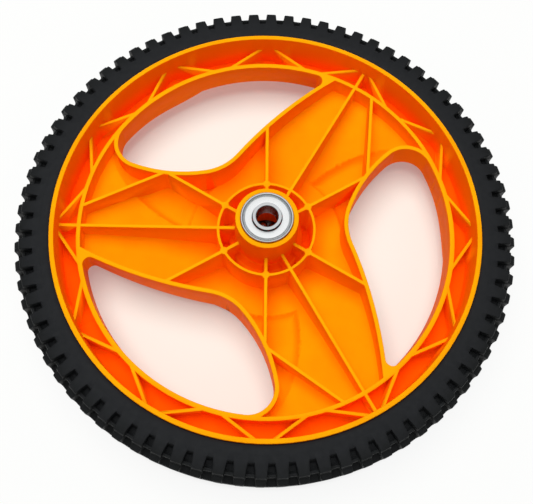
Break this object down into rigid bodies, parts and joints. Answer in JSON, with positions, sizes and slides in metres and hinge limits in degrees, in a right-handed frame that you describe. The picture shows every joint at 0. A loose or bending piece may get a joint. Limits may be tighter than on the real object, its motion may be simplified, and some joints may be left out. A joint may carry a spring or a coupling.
{
  "type": "wheel",
  "caption": "Plastic spoked wheel with a ribbed back, open windows, a lugged rubber tyre and ball bearings in its hub, for pushing a lawn mower.",
  "frame": {"origin": "on the axle line, in the plane of the front lip that the wheel lies on", "axes": "+Z along the axle towards the ribbed back; a main rib runs along -X"},
  "size_m": [0.3048, 0.3048, 0.0558],
  "materials": {
    "rim_plastic": "satin moulded orange",
    "tyre_rubber": "matt black rubber",
    "bearing_steel": "ground steel",
    "shield_steel": "zinc plated, satin",
    "ball_steel": "polished"
  },
  "bodies": {
    "wheel": {"rim_moulding": "rim_plastic", "tyre": "tyre_rubber", "inboard_bearing_outer_ring": "bearing_steel", "inboard_bearing_shield": "shield_steel", "outboard_bearing_outer_ring": "bearing_steel", "outboard_bearing_shield": "shield_steel"},
    "inboard_race": {"inboard_bearing_inner_ring": "bearing_steel"},
    "inboard_ball_set": {"inboard_bearing_balls": "ball_steel"},
    "outboard_race": {"outboard_bearing_inner_ring": "bearing_steel"},
    "outboard_ball_set": {"outboard_bearing_balls": "ball_steel"}
  },
  "joints": [
    {"name": "inboard_race_spin", "type": "hinge", "parent": "wheel", "child": "inboard_race", "pos_m": [0, 0, 0.04935], "axis": [0, 0, 1], "continuous": true},
    {"name": "inboard_ball_orbit", "type": "hinge", "parent": "wheel", "child": "inboard_ball_set", "pos_m": [0, 0, 0.04935], "axis": [0, 0, 1], "continuous": true},
    {"name": "outboard_race_spin", "type": "hinge", "parent": "wheel", "child": "outboard_race", "pos_m": [0, 0, 0.0094], "axis": [0, 0, 1], "continuous": true},
    {"name": "outboard_ball_orbit", "type": "hinge", "parent": "wheel", "child": "outboard_ball_set", "pos_m": [0, 0, 0.0094], "axis": [0, 0, 1], "continuous": true}
  ],
  "couplings": [
    {"joint": "inboard_ball_orbit", "follows": "inboard_race_spin", "ratio": 0.3654},
    {"joint": "outboard_ball_orbit", "follows": "outboard_race_spin", "ratio": 0.3654}
  ]
}
